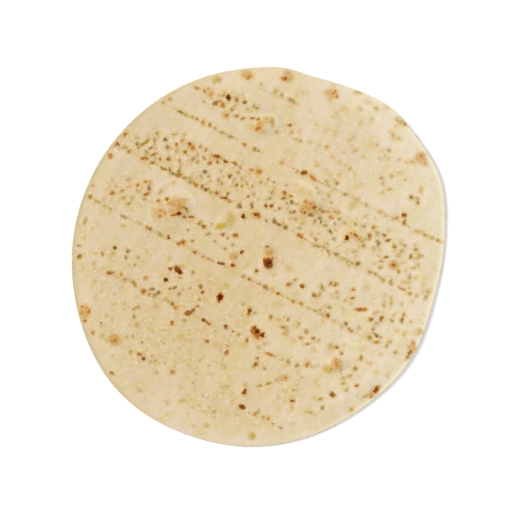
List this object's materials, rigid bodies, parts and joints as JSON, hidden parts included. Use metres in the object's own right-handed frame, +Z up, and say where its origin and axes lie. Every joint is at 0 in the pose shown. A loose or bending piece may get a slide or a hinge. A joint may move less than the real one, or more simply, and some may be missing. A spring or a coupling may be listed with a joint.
{
  "type": "flour tortilla",
  "caption": "Thin, soft, not quite round flatbread of wheat dough, toasted in freckles and along belt creases, with low blisters on its shown face, lying flat.",
  "frame": {"origin": "middle of the bottom of the box round the tortilla, on the surface that it lies on", "axes": "+Z up out of the shown face, +X to the right and +Y to the top of the pictured face"},
  "size_m": [0.2516, 0.2554, 0.0041],
  "materials": {
    "baked_dough": "matt pale wheat dough with brown toast freckles"
  },
  "bodies": {
    "root": {"tortilla": "baked_dough"}
  },
  "joints": []
}
